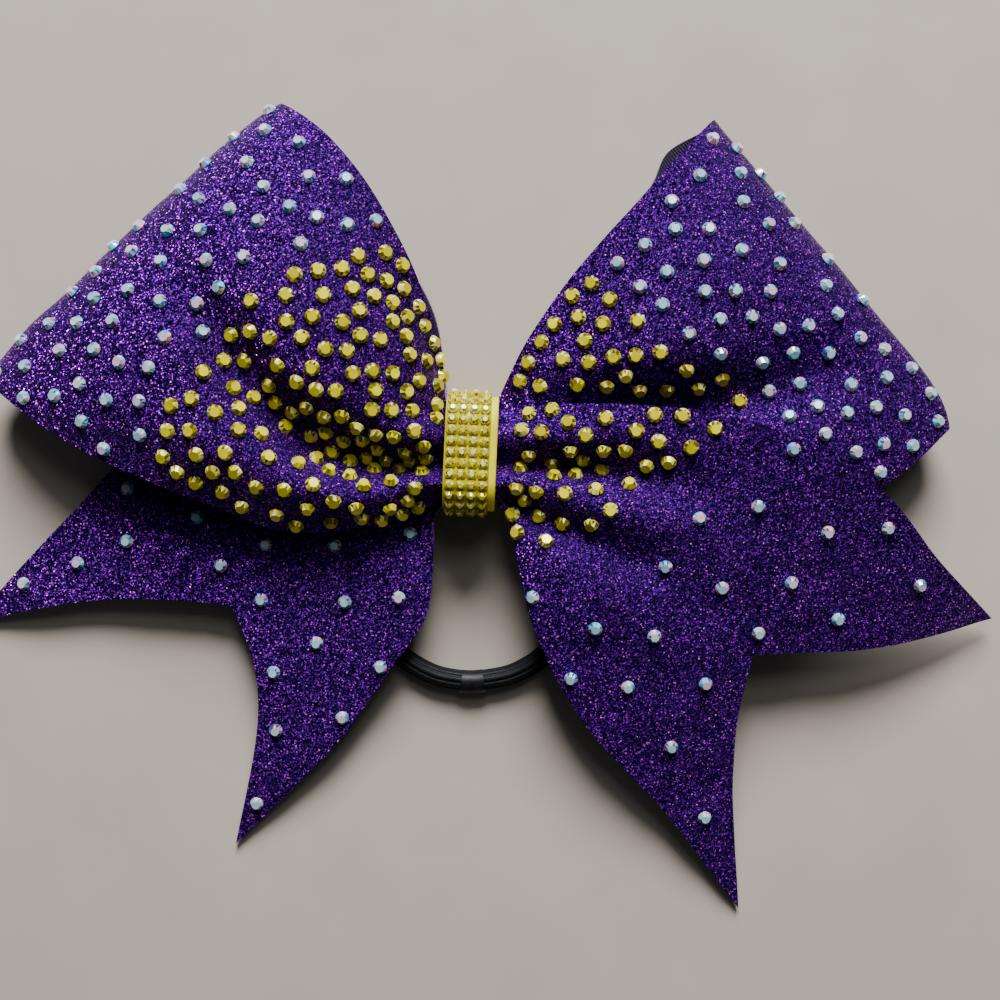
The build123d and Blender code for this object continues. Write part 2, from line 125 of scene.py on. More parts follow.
RIGHT_REAR = {
    "low": [START_LOW, (35, -13), (60, -11), (80, -3), (95.6, 6.9)],
    "high": [START_HIGH, (12, 22), (30, 46), (36.5, 55), (39, 60.5), (44, 63.6), (47, 64.5)],
    "reach": REAR_REACH,
    "heights": [(REAR_LEVEL,) * 3, (10.5, 13.5, 18), (-11, -12, -14), FOLD_ROW],
    "folds": [],
    "corners": (0.03, 0.0),
}
LEFT_TAIL = {
    "low": mirrored([START_LOW, (7, -12), (7.3, -18), (9, -32), (15, -41), (25, -55), (47.5, -78)]),
    "high": mirrored([START_HIGH, (30, 9), (50, 7), (62, 3.5), (80.5, -13), (100.7, -33.8)]),
    "reach": TAIL_REACH,
    "heights": [(MIDDLE_LEVEL,) * 3, (8, 10, 10), (6, 7.5, 8), (0.9, 3.5, 0.9)],
    "folds": [],
    "corners": (0.0, 0.0),
    "notch": (-0.03, 0.38, -0.24, -0.08),
}
RIGHT_TAIL = {
    "low": [START_LOW, (7, -12), (9, -20.5), (12, -32.5), (20, -49.5), (38.5, -71), (53.5, -91)],
    "high": [START_HIGH, (29.5, 9), (52, 6), (66.5, 0), (78, -7), (91, -21), (103.5, -32.5)],
    "reach": TAIL_REACH,
    "heights": [(FRONT_LEVEL,) * 3, (14, 26, 27), (9, 14, 24), (0.9, 3, 3.5)],
    "folds": [
        (-0.29, 0.5, 0.12, 0.19, -6.8, 0.2, 3),
        (-0.85, 0.06, 0.2, 0.17, -4.0, 0.24, 3),
    ],
    "corners": (0.0, 0.0),
    "notch": (-0.08, 0.32, -0.17, 0.07),
}

CORD_ROUTE = [
    (-2.2, -45.3), (-9, -43.9), (-16.6, -38.6), (-22.2, -30), (-23.6, -19), (-19.7, -8), (-11, 0),
    (10.8, 0), (19, -7.6), (23.4, -17.6), (22.6, -29), (17, -38.3), (9.5, -43.8), (2.4, -45.2),
]


# ---- the ribbon's shape -------------------------------------------------------------------------
# Across the ribbon v runs from -1 (lower edge) to 1 (upper edge). Along it u runs from 0 at the knot to 1 at
# the fold or the tail's end. Every function takes whole arrays.

def along(points, f):
    p = np.array(points, float)
    run = np.concatenate([[0.0], np.cumsum(np.linalg.norm(np.diff(p, axis=0), axis=1))])
    slope = np.gradient(p, run, axis=0)
    at = np.clip(f, 0, 1) * run[-1]
    i = np.clip(np.searchsorted(run, at, side="right") - 1, 0, len(p) - 2)
    step = (run[i + 1] - run[i])[..., None]
    t = (at - run[i])[..., None] / step
    ease = t * t * (3 - 2 * t)
    pull_in = step * t * (1 - t) ** 2
    pull_out = step * t * t * (1 - t)
    return p[i] * (1 - ease) + p[i + 1] * ease + slope[i] * pull_in - slope[i + 1] * pull_out


def bezier(rows, u):
    a, b, c, d = rows
    w = 1 - u
    return a * w ** 3 + 3 * b * w * w * u + 3 * c * w * u * u + d * u ** 3


def across(row, v):
    low, mid, high = row
    return mid + (high - low) / 2 * v + ((high + low) / 2 - mid) * v * v


def pleat(v):
    span = np.where(v < KNOT_VALLEY, 1 + KNOT_VALLEY, 1 - KNOT_VALLEY)
    return -np.cos(2 * np.pi * (v - KNOT_VALLEY) / span)


def pinch(x, y):
    aside = np.maximum(abs(x) - KNOT_HALF_WIDTH, 0.0)
    above = np.maximum(abs(y) - KNOT_HALF_HEIGHT, 0.0)
    height = np.clip(y / KNOT_HALF_HEIGHT, -1.0, 1.0)
    return KNOT_PLEAT * pleat(height) * np.exp(-(aside ** 2 + above ** 2) / PINCH_REACH ** 2)


def folded(panel, f, v):
    """Creases that run out from the knot and fade at the far end, each highest or deepest at its peak."""
    lift = 0.0 * v
    for v_knot, v_out, bend, width, height, peak, hold in panel["folds"]:
        line = v_knot + (v_out - v_knot) * (1 - np.exp(-f / bend))
        run = f / peak
        lift = lift + height * (run * np.exp(1 - run)) ** hold * np.exp(-((v - line) / width) ** 2)
    return lift * (1 - f ** 8)


def panel_point(panel, u, v):
    u, v = np.broadcast_arrays(np.asarray(u, float), np.asarray(v, float))
    f = bezier(panel["reach"], u)
    low_corner, high_corner = panel["corners"]
    corner = np.where(v < 0, low_corner, high_corner) * abs(v) ** 8
    plan = f * (1 - corner * f ** 3)
    low = along(panel["low"], plan)
    high = along(panel["high"], plan)
    place = low + (high - low) * ((1 + v) / 2)[..., None]
    x, y = place[..., 0], place[..., 1]
    z = bezier([across(row, v) for row in panel["heights"]], u)
    z = z + folded(panel, f, v) + pinch(x, y)
    return np.stack([x, y, z], axis=-1)


def loop_point(front, rear, s, v):
    s, v = np.broadcast_arrays(np.asarray(s, float), np.asarray(v, float))
    ahead = panel_point(front, np.minimum(s, 1), v)
    behind = panel_point(rear, np.minimum(2 - s, 1), v)
    return np.where((s <= 1)[..., None], ahead, behind)


def tail_end(panel, v):
    centre, depth, low_bulge, high_bulge = panel["notch"]
    bulge = np.where(v < centre, low_bulge, high_bulge)
    a = abs(v - centre) / np.where(v < centre, 1 + centre, 1 - centre)
    return 1 - depth * (1 - a) + depth * bulge * np.sin(np.pi * a)


def surface_normal(point, s, v, s_end):
    step = 1e-3
    s0, s1 = np.maximum(s - step, 0.0), np.minimum(s + step, s_end)
    v0, v1 = np.maximum(v - step, -1.0), np.minimum(v + step, 1.0)
    normal = np.cross(point(s1, v) - point(s0, v), point(s, v1) - point(s, v0))
    return normal / np.linalg.norm(normal, axis=-1, keepdims=True)


def left_loop(s, v):
    return loop_point(LEFT_FRONT, LEFT_REAR, s, v)


def right_loop(s, v):
    return loop_point(RIGHT_FRONT, RIGHT_REAR, s, v)


def left_tail(s, v):
    return panel_point(LEFT_TAIL, s, v)


def right_tail(s, v):
    return panel_point(RIGHT_TAIL, s, v)


# ---- material helpers ---------------------------------------------------------------------------

class Nodes:
    """A new material's node tree, with short calls to add and link nodes."""

    def __init__(self, name):
        self.material = bpy.data.materials.new(name)
        self.material.use_nodes = True
        self.tree = self.material.node_tree
        self.shader = self.tree.nodes["Principled BSDF"]

    def add(self, kind, **settings):
        node = self.tree.nodes.new(kind)
        for key, value in settings.items():
            setattr(node, key, value)
        return node

    def link(self, source, target):
        self.tree.links.new(source, target)

    def set(self, **values):
        for key, value in values.items():
            self.shader.inputs[key.replace("_", " ")].default_value = value

    def place(self):
        return self.add("ShaderNodeTexCoord").outputs["Object"]

    def uv(self):
        return self.add("ShaderNodeTexCoord").outputs["UV"]

    def ramp(self, source, stops, smooth=False):
        node = self.add("ShaderNodeValToRGB")
        node.color_ramp.interpolation = "EASE" if smooth else "LINEAR"
        while len(node.color_ramp.elements) < len(stops):
            node.color_ramp.elements.new(0.5)
        for element, (at, colour) in zip(node.color_ramp.elements, stops):
            element.position = at
            element.color = (*colour, 1)
        self.link(source, node.inputs["Fac"])
        return node.outputs["Color"]

    def mix(self, factor, a, b, blend="MIX"):
        node = self.add("ShaderNodeMix", data_type="RGBA", blend_type=blend)
        sockets = (node.inputs[0], node.inputs[6], node.inputs[7])
        for socket, value in zip(sockets, (factor, a, b)):
            if isinstance(value, bpy.types.NodeSocket):
                self.link(value, socket)
            elif isinstance(value, tuple):
                socket.default_value = (*value, 1)
            else:
                socket.default_value = value
        return node.outputs[2]

    def maths(self, operation, a, b=0.0, c=0.0):
        node = self.add("ShaderNodeMath", operation=operation)
        for socket, value in zip(node.inputs, (a, b, c)):
            if isinstance(value, bpy.types.NodeSocket):
                self.link(value, socket)
            else:
                socket.default_value = value
        return node.outputs[0]

    def vector(self, operation, a, b=(0.0, 0.0, 0.0), scale=None):
        node = self.add("ShaderNodeVectorMath", operation=operation)
        for socket, value in zip(node.inputs, (a, b)):
            if isinstance(value, bpy.types.NodeSocket):
                self.link(value, socket)
            else:
                socket.default_value = value
        if scale is not None:
            node.inputs["Scale"].default_value = scale
        return node.outputs[0]

    def noise(self, source, size, detail=2.0):
        """Cloudy noise whose features are about that size in metres."""
        node = self.add("ShaderNodeTexNoise")
        node.inputs["Scale"].default_value = 1 / size
        node.inputs["Detail"].default_value = detail
        self.link(source, node.inputs["Vector"])
        return node.outputs["Fac"]

    def cells(self, source, size):
        """A random colour for every small cell of about that size in metres."""
        node = self.add("ShaderNodeTexVoronoi")
        node.inputs["Scale"].default_value = 1 / size
        self.link(source, node.inputs["Vector"])
        return node

    def bump(self, height, depth, strength=1.0):
        node = self.add("ShaderNodeBump")
        node.inputs["Distance"].default_value = depth
        node.inputs["Strength"].default_value = strength
        self.link(height, node.inputs["Height"])
        self.link(node.outputs["Normal"], self.shader.inputs["Normal"])
        return node.outputs["Normal"]

    def colour(self, source):
        self.link(source, self.shader.inputs["Base Color"])

    def roughness(self, source):
        self.link(source, self.shader.inputs["Roughness"])


def glitter_material():
    """Dark indigo film packed with small tilted foil flakes. The brightest flakes' colour is painted
    sparkle; the rest is their own tone.
    """
    m = Nodes("glitter_film")
    place = m.place()
    flakes = m.cells(place, 0.00021)
    parts = m.add("ShaderNodeSeparateColor")
    m.link(flakes.outputs["Color"], parts.inputs["Color"])
    # flake colour: dark to violet is the flakes' own tone, and the near-white top of the ramp is painted
    # sparkle
    flake_tone_and_sparkle = m.ramp(parts.outputs["Red"], [
        (0.0, (0.004, 0.0004, 0.019)), (0.50, (0.011, 0.0004, 0.052)), (0.80, (0.040, 0.001, 0.16)),
        (0.93, (0.21, 0.008, 0.54)), (0.985, (0.55, 0.08, 0.98)), (1.0, (0.95, 0.50, 1.0)),
    ])
    warm = m.mix(parts.outputs["Green"], (0.80, 0.80, 1.15), (1.30, 0.95, 0.95))
    patch = m.ramp(m.noise(place, 0.010, 3.0), [(0.3, (0.86, 0.86, 0.90)), (0.7, (1.10, 1.08, 1.06))])
    m.colour(m.mix(1.0, m.mix(1.0, flake_tone_and_sparkle, warm, "MULTIPLY"), patch, "MULTIPLY"))
    tilt = m.vector("SCALE", m.vector("SUBTRACT", flakes.outputs["Color"], (0.5, 0.5, 0.5)), scale=1.2)
    facing = m.add("ShaderNodeNewGeometry").outputs["Normal"]
    m.link(m.vector("NORMALIZE", m.vector("ADD", facing, tilt)), m.shader.inputs["Normal"])
    m.roughness(m.maths("MULTIPLY_ADD", parts.outputs["Blue"], 0.25, 0.22))
    m.set(Metallic=0.4, Specular_IOR_Level=0.05)
    return m.material


def cut_edge_material():
    """The ribbon's thin cut edge, paler than its faces."""
    m = Nodes("cut_edge")
    m.colour(m.ramp(m.noise(m.place(), 0.0006), [(0.35, (0.13, 0.06, 0.25)), (0.65, (0.32, 0.21, 0.48))]))
    m.set(Roughness=0.65)
    return m.material


def woven_material(name, low, high, rib=0.0007, sheen=0.02):
    """A ribbed ribbon weave: ribs across the ribbon and fine threads over them, with painted shade in the
    weave's low parts.
    """
    m = Nodes(name)
    uv = m.uv()
    split = m.add("ShaderNodeSeparateXYZ")
    m.link(uv, split.inputs[0])
    ribs = m.maths("SINE", m.maths("MULTIPLY", split.outputs["X"], 2 * math.pi / rib))
    threads = m.maths("SINE", m.maths("MULTIPLY", split.outputs["Y"], 2 * math.pi / (rib * 0.55)))
    weave = m.maths("ADD", m.maths("MULTIPLY", ribs, 0.7), m.maths("MULTIPLY", threads, 0.3))
    fluff = m.noise(m.place(), 0.0004, 4.0)
    height = m.maths("ADD", weave, fluff)
    # the colour follows the weave's height: painted shade in the grooves, lighter on the crests, plus random
    # fluff tone
    m.colour(m.ramp(m.maths("MULTIPLY_ADD", height, 0.25, 0.35), [(0.0, low), (1.0, high)]))
    m.bump(height, 0.00006)
    m.set(Roughness=0.62, Sheen_Weight=sheen, Sheen_Roughness=0.4, Specular_IOR_Level=0.3)
    return m.material


def stone_material(name, coat, roughness, metallic):
    """Cut stones: each facet carries a colour over a foil back, partly the stone's tint and partly painted
    glint or painted dark reflection.
    """
    m = Nodes(name)
    # per-facet colours, with painted glints and painted dark reflections among them
    tint_and_glint = m.add("ShaderNodeVertexColor", layer_name="facet").outputs["Color"]
    cloud = m.ramp(m.noise(m.place(), 0.0012), [(0.3, (0.86, 0.86, 0.86)), (0.7, (1.1, 1.1, 1.1))])
    m.colour(m.mix(1.0, tint_and_glint, cloud, "MULTIPLY"))
    m.set(Roughness=roughness, Metallic=metallic, Specular_IOR_Level=0.3)
    m.set(Coat_Weight=coat, Coat_Roughness=0.03)
    return m.material


def plain_material(name, low, high, grain, roughness, **settings):
    """A moulded or glued material with faint clouding and a fine bump."""
    m = Nodes(name)
    cloud = m.noise(m.place(), grain, 3.0)
    m.colour(m.ramp(cloud, [(0.3, low), (0.7, high)]))
    m.bump(cloud, 0.00004)
    m.set(Roughness=roughness, **settings)
    return m.material


def elastic_material():
    """Braided black elastic: a fine noisy yarn texture over the ribs."""
    m = Nodes("elastic_cord")
    yarn = m.noise(m.place(), 0.0005, 4.0)
    m.colour(m.ramp(yarn, [(0.3, (0.002, 0.002, 0.003)), (0.7, (0.007, 0.008, 0.010))]))
    m.bump(yarn, 0.00008)
    m.set(Roughness=0.5, Specular_IOR_Level=0.18)
    return m.material


def floor_material():
    """A plain pale board with faint clouding."""
    m = Nodes("floor")
    cloud = m.noise(m.place(), 0.02, 3.0)
    m.colour(m.ramp(cloud, [(0.3, (0.455, 0.40, 0.335)), (0.7, (0.485, 0.43, 0.36))]))
    m.set(Roughness=0.9)
    return m.material


# ---- mesh helpers -------------------------------------------------------------------------------

def new_object(name, vertices, faces, materials, smooth=True, slots=None):
    """A mesh object in the scene. Slots give each face its material's number."""
    mesh = bpy.data.meshes.new(name)
    mesh.from_pydata([tuple(p) for p in vertices], [], faces)
    for material in materials:
        mesh.materials.append(material)
    if slots is not None:
        mesh.polygons.foreach_set("material_index", slots)
    mesh.polygons.foreach_set("use_smooth", [smooth] * len(mesh.polygons))
    mesh.update()
    piece = bpy.data.objects.new(name, mesh)
    bpy.context.scene.collection.objects.link(piece)
    return piece


def grid_sheet(name, inner, outer, materials, lengths, widths):
    """A closed thin sheet between two grids of points, with its rim in the second material."""
    rows, columns = inner.shape[:2]
    vertices = np.concatenate([outer.reshape(-1, 3), inner.reshape(-1, 3)]) * MM
    below = rows * columns
    faces, slots, uvs = [], [], []

    def at(r, c):
        return r * columns + c

    def put(corners, slot, ends):
        faces.append(corners)
        slots.append(slot)
        uvs.extend((lengths[r] * MM, widths[c] * MM) for r, c in ends)

    for r in range(rows - 1):
        for c in range(columns - 1):
            ends = [(r, c), (r + 1, c), (r + 1, c + 1), (r, c + 1)]
            put([at(*e) for e in ends], 0, ends)
            ends = ends[::-1]
            put([at(*e) + below for e in ends], 0, ends)
    rim = [(0, c) for c in range(columns)] + [(r, columns - 1) for r in range(1, rows)]
    rim += [(rows - 1, c) for c in range(columns - 2, -1, -1)] + [(r, 0) for r in range(rows - 2, 0, -1)]
    for a, b in zip(rim, rim[1:] + rim[:1]):
        put([at(*a), at(*b), at(*b) + below, at(*a) + below], 1, [a, b, b, a])
    sheet = new_object(name, vertices, faces, materials, True, slots)
    layer = sheet.data.uv_layers.new(name="weave")
    layer.data.foreach_set("uv", np.array(uvs, np.float32).ravel())
    sheet.data.validate()
    edges = {tuple(sorted((at(*a), at(*b)))) for a, b in zip(rim, rim[1:] + rim[:1])}
    edges |= {(a + below, b + below) for a, b in edges}
    sharp = [tuple(sorted(edge.vertices)) in edges for edge in sheet.data.edges]
    attribute = sheet.data.attributes.new("sharp_edge", "BOOLEAN", "EDGE")
    attribute.data.foreach_set("value", sharp)
    return sheet


def tube_faces(rings, around):
    """The faces between rings of vertices that close on themselves."""
    faces = []
    for i in range(rings):
        after = (i + 1) % rings
        for k in range(around):
            turned = (k + 1) % around
            faces.append((i * around + k, i * around + turned, after * around + turned, after * around + k))
    return faces


def fix_facing(piece):
    """Turn the faces of a closed mesh outwards if its volume comes out negative."""
    work = bmesh.new()
    work.from_mesh(piece.data)
    if work.calc_volume(signed=True) < 0:
        bmesh.ops.reverse_faces(work, faces=work.faces)
        work.to_mesh(piece.data)
    work.free()
    return piece


def ready(piece, body, node):
    """Tie a piece to its body, in place of a CAD node, and hide that node's piece."""
    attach(piece, body)
    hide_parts(node)


# ---- camera, and the elastic --------------------------------------------------------------------

CAMERA_PLACE = (0.0056, -0.0090, 0.300)
FOCAL_LENGTH = 53.46         # on a sensor 36 mm wide
ELASTIC_RIBS = 9
ELASTIC_AROUND = 72          # points round the elastic, 8 for each rib
GROOVE_DEPTH = 0.12          # of the elastic's radius


def make_camera():
    """A camera that looks straight down on the bow."""
    lens = bpy.data.cameras.new("camera")
    lens.sensor_width = 36
    lens.lens = FOCAL_LENGTH
    lens.clip_start = 0.01
    camera = bpy.data.objects.new("camera", lens)
    camera.location = CAMERA_PLACE
    bpy.context.scene.collection.objects.link(camera)
    bpy.context.scene.camera = camera


def elastic_line():
    """The elastic's line, from the middle of its tunnel round and back, read from a smooth spline."""
    far = min(y for x, y in CORD_ROUTE)
    half = len(CORD_ROUTE) // 2
    corners = [(0, 0), *CORD_ROUTE[half:], *CORD_ROUTE[:half], (0, 0)]
    curve = bpy.data.curves.new("elastic_route", "CURVE")
    curve.dimensions = "3D"
    curve.resolution_u = 12
    spline = curve.splines.new("NURBS")
    spline.points.add(len(corners) - 1)
    for point, (x, y) in zip(spline.points, corners):
        point.co = (x * MM, y * MM, (CORD_HEIGHT - CORD_DROP * y / far) * MM, 1)
    spline.order_u = 3
    spline.use_endpoint_u = True
    route = bpy.data.objects.new("elastic_route", curve)
    bpy.context.scene.collection.objects.link(route)
    bpy.context.view_layer.update()
    mesh = bpy.data.meshes.new_from_object(route)
    line = [v.co.copy() for v in mesh.vertices]
    bpy.data.meshes.remove(mesh)
    bpy.data.objects.remove(route)
    return line


def make_elastic(line):
    """A ribbed tube round the line, closed on itself inside the tunnel."""
    rings = line[:-1]
    vertices = []
    for i, centre in enumerate(rings):
        ahead = (line[(i + 1) % len(rings)] - rings[i - 1]).normalized()
        side = ahead.cross(Vector((0, 0, 1))).normalized()
        up = side.cross(ahead)
        for k in range(ELASTIC_AROUND):
            turn = 2 * math.pi * k / ELASTIC_AROUND
            groove = 1 - GROOVE_DEPTH * (0.5 - 0.5 * math.cos(ELASTIC_RIBS * turn)) ** 3
            radius = CORD / 2 * groove * MM
            vertices.append(centre + (side * math.cos(turn) + up * math.sin(turn)) * radius)
    faces = tube_faces(len(rings), ELASTIC_AROUND)
    elastic = fix_facing(new_object("elastic_cord_loop", vertices, faces, [elastic_material()]))
    ready(elastic, "hair_loop", "hair_elastic")


# ---- ribbon -------------------------------------------------------------------------------------

# each section's surface, where its run ends, the side its film is on, and the seed of its creases
SECTIONS = {
    "left_loop": (left_loop, 2.0, -1, 21),
    "right_loop": (right_loop, 2.0, 1, 22),
    "left_tail": (left_tail, 1.0, -1, 23),
    "right_tail": (right_tail, 1.0, 1, 24),
}
CREASES = 8                  # soft creases laid over each other
CREASE_LENGTHS = (11, 34)    # from one crest to the next, in millimetres
CREASE_HEIGHT = 0.22
TAIL_GATHER = 0.5            # height of the left tail's small pleats
TAIL_GATHERS = 13            # how many of them its whole width would take


def ripple(place, seed):
    """Small soft creases in millimetres, fading out at the knot."""
    waves = np.random.default_rng(seed)
    height = np.zeros(place.shape[:-1])
    for _ in range(CREASES):
        way = waves.uniform(0, np.pi)
        length = waves.uniform(*CREASE_LENGTHS)
        start = waves.uniform(0, 2 * np.pi)
        run = place[..., 0] * np.cos(way) + place[..., 1] * np.sin(way)
        height += np.sin(2 * np.pi * run / length + start)
    away = np.clip((np.hypot(place[..., 0], place[..., 1]) - 12) / 20, 0, 1)
    return CREASE_HEIGHT * height / 2.5 * away * away * (3 - 2 * away)


def gathers(section, place, v):
    """Small pleats in millimetres, running out from the knot on the half of the left tail under its loop."""
    if section != "left_tail":
        return np.zeros(place.shape[:-1])
    reach = np.hypot(place[..., 0], place[..., 1])
    fade = np.clip((reach - 9) / 10, 0, 1) * np.clip((72 - reach) / 30, 0, 1)
    covered = np.clip((v + 0.1) / 0.3, 0, 1)
    return TAIL_GATHER * np.sin(np.pi * TAIL_GATHERS * v) * fade * covered


def skin(section, s, v, offset):
    """A section's surface moved outwards by an offset, with its creases, and the way it faces there."""
    point, s_end, turn, seed = SECTIONS[section]
    place = point(s, v)
    facing = surface_normal(point, s, v, s_end) * turn
    relief = offset + ripple(place, seed) + gathers(section, place, v)
    return place + facing * relief[..., None], facing


def section_grid(section, panel):
    """Places along and across a section. A tail's run stops at its notched end."""
    if panel is None:
        s = np.linspace(0, 2, 201)
        v = np.linspace(-1, 1, 91)
        return np.meshgrid(s, v, indexing="ij")
    centre = panel["notch"][0]
    v = np.concatenate([np.linspace(-1, centre, 45), np.linspace(centre, 1, 55)[1:]])
    s = np.linspace(0, 1, 131) ** 1.1
    s, v = np.meshgrid(s, v, indexing="ij")
    return s * tail_end(panel, v), v


def make_section(section, panel, film, edge, woven):
    """The glitter film and the woven backing of one section, face to face."""
    s, v = section_grid(section, panel)
    middle = skin(section, s, v, 0.0)[0]
    steps = np.linalg.norm(np.diff(middle[:, s.shape[1] // 2], axis=0), axis=1)
    along_mm = np.concatenate([[0.0], np.cumsum(steps)])
    across_mm = v[0] * RIBBON / 2
    plies = (
        ("glitter", 0.0, PLY, film, "glitter_film"),
        ("backing", -PLY, 0.0, woven, "woven_ribbon"),
    )
    for ply, start, end, look, slot in plies:
        inner, outer = skin(section, s, v, start)[0], skin(section, s, v, end)[0]
        name = f"{section}_{ply}_ply"
        sheet = grid_sheet(name, inner, outer, [look, edge], along_mm, across_mm)
        fix_facing(sheet)
        ready(sheet, "bow", f"{section}_{ply}")


def make_ribbon():
    """All four sections. A tail's cut share is its notched cut's area in that of its full rectangle."""
    film, edge = glitter_material(), cut_edge_material()
    woven = woven_material("woven_ribbon", (0.005, 0.001, 0.012), (0.018, 0.004, 0.040))
    rows = (
        ("left_loop", None, 0.170, None, "folded", ["cable_tie"]),
        ("right_loop", None, 0.170, None, "folded", ["cable_tie"]),
        ("left_tail", LEFT_TAIL, 0.115, 0.625, "laid", ["cable_tie"]),
        ("right_tail", RIGHT_TAIL, 0.115, 0.742, "laid", ["cable_tie"]),
    )
    for section, panel, length, share, held, rests_on in rows:
        make_section(section, panel, film, edge, woven)


# ---- centre wrap and its stones -----------------------------------------------------------------

SELVEDGE = ((0.0, 0.30), (0.12, 0.10), (0.35, 0.0))    # how far in from the edge, and how far sunk
CUP_PROFILE = ((1.02, -0.45), (1.01, 0.08), (0.94, 0.24), (0.86, 0.16), (0.84, -0.45))
CUP_SIDES = 12


def leaned(x, y, z):
    """A point on the wrap in metres, turned by the wrap's slight lean."""
    return Vector((
        x * math.cos(LEAN) - y * math.sin(LEAN), x * math.sin(LEAN) + y * math.cos(LEAN), z,
    )) * MM


def wrap_path(grow):
    """The wrap's closed outline at a distance outside its face, as points in Y and Z."""
    half, radius, top = WRAP_HALF_HEIGHT + grow, WRAP_CORNER + grow, WRAP_FRONT + grow
    low = -grow
    corners = [(-half, low), (half, low), (half, top), (-half, top)]
    path = []
    for i, (y, z) in enumerate(corners):
        inward_y, inward_z = (1 if y < 0 else -1), (1 if z < top / 2 else -1)
        centre = (y + inward_y * radius, z + inward_z * radius)
        start = math.pi + i * math.pi / 2
        for k in range(17):
            a = start + k / 16 * math.pi / 2
            path.append((centre[0] + radius * math.cos(a), centre[1] + radius * math.sin(a)))
    filled = []
    for (y0, z0), (y1, z1) in zip(path, path[1:] + path[:1]):
        gap = math.hypot(y1 - y0, z1 - z0)
        pieces = max(1, round(gap / 0.7))
        filled += [(y0 + (y1 - y0) * k / pieces, z0 + (z1 - z0) * k / pieces) for k in range(pieces)]
    return filled


def band_path(distance):
    """A point on the banding's outer face and its outward direction, from the front's middle downwards."""
    half = WRAP_HALF_HEIGHT + BAND_THICK
    radius = WRAP_CORNER + BAND_THICK
    top = WRAP_FRONT + BAND_THICK
    flat = half - radius
    quarter = radius * math.pi / 2
    side = 1 if distance >= 0 else -1
    d = abs(distance)
    if d <= flat:
        return (0, -side * d, top), (0, 0, 1)
    if d <= flat + quarter:
        a = (d - flat) / radius
        out = (0, -side * math.sin(a), math.cos(a))
        return (0, -side * flat + radius * out[1], top - radius + radius * out[2]), out
    drop = d - flat - quarter
    return (0, -side * half, top - radius - drop), (0, -side, 0)


def make_wrap():
    """The plain yellow ribbon round the knot, with soft selvedges."""
    inner, outer = wrap_path(-WRAP_THICK), wrap_path(0.0)
    count = len(outer)
    inner = [inner[round(i * (len(inner) - 1) / (count - 1))] for i in range(count)]
    half = WRAP_WIDTH / 2
    stations = [(-half + inset, sunk) for inset, sunk in SELVEDGE]
    stations += [(x, 0.0) for x in np.linspace(-half + 0.8, half - 0.8, 9)]
    stations += [(-x, d) for x, d in stations[2::-1]]
    vertices = []
    for (yo, zo), (yi, zi) in zip(outer, inner):
        for x, sunk in stations:
            share = sunk / WRAP_THICK
            vertices.append(leaned(x, yo + (yi - yo) * share, zo + (zi - zo) * share))
        for x, sunk in stations[::-1]:
            share = 1 - sunk / WRAP_THICK
            vertices.append(leaned(x, yo + (yi - yo) * share, zo + (zi - zo) * share))
    faces = tube_faces(count, 2 * len(stations))
    look = plain_material(
        "wrap_ribbon", (0.78, 0.70, 0.004), (0.88, 0.80, 0.008), 0.0012, 0.5, Specular_IOR_Level=0.2,
    )
    wrap = fix_facing(new_object("wrap_strip", vertices, faces, [look]))
    ready(wrap, "bow", "wrap_ribbon")


def cut_stone(radius, height, table):
    """The vertices and faces of a round cut stone: a girdle, 24 crown facets and a flat table."""
    sides, table_sides = 16, 8
    crown, top = sides, 2 * sides
    girdle = 0.16 * height
    rings = [
        (radius, 0.0, sides, 0), (radius, girdle, sides, 0), (radius * table, height, table_sides, 0.5),
    ]
    vertices = []
    for r, z, count, shift in rings:
        for k in range(count):
            a = 2 * math.pi * (k + shift) / count
            vertices.append((r * math.cos(a), r * math.sin(a), z))
    faces = [tuple(range(sides - 1, -1, -1)), tuple(range(top, top + table_sides))]
    faces += [(k, (k + 1) % sides, crown + (k + 1) % sides, crown + k) for k in range(sides)]
    for k in range(table_sides):
        before, here = top + (k - 1) % table_sides, top + k
        low, middle, high = (crown + (2 * k + i) % sides for i in range(3))
        faces += [(before, low, here), (low, middle, here), (here, middle, high)]
    return vertices, faces


def make_stones(name, seats, size, look, palette, seed, node):
    """A group of cut stones joined in one mesh. Every facet takes a colour from the palette, some of them
    painted glints or painted dark reflections, with a random painted brightness.
    """
    pick = random.Random(seed)
    shape, shape_faces = cut_stone(*size)
    vertices, faces, tints_and_glints = [], [], []
    for place, facing in seats:
        spin = Matrix.Rotation(pick.uniform(0, math.pi), 3, "Z")
        turn = Vector(facing).to_track_quat("Z", "X").to_matrix() @ spin
        seat = Vector(place)
        base = len(vertices)
        vertices += [(seat + turn @ Vector(corner)) * MM for corner in shape]
        faces += [tuple(base + i for i in face) for face in shape_faces]
        # each facet's colour: the stone's tint, a painted glint or a painted dark reflection, dimmed or
        # brightened at random as painted light
        lit = pick.choice(palette["tables"])
        for i, face in enumerate(shape_faces):
            tint_and_glint = lit if i == 1 else pick.choice(palette["crown"])
            gain = pick.uniform(0.8, 1.15)
            tints_and_glints += [(*(min(c * gain, 1.0) for c in tint_and_glint), 1.0)] * len(face)
    stones = new_object(name, vertices, faces, [look], smooth=False)
    layer = stones.data.color_attributes.new("facet", "FLOAT_COLOR", "CORNER")
    layer.data.foreach_set("color", np.array(tints_and_glints, np.float32).ravel())
    ready(stones, "bow", node)
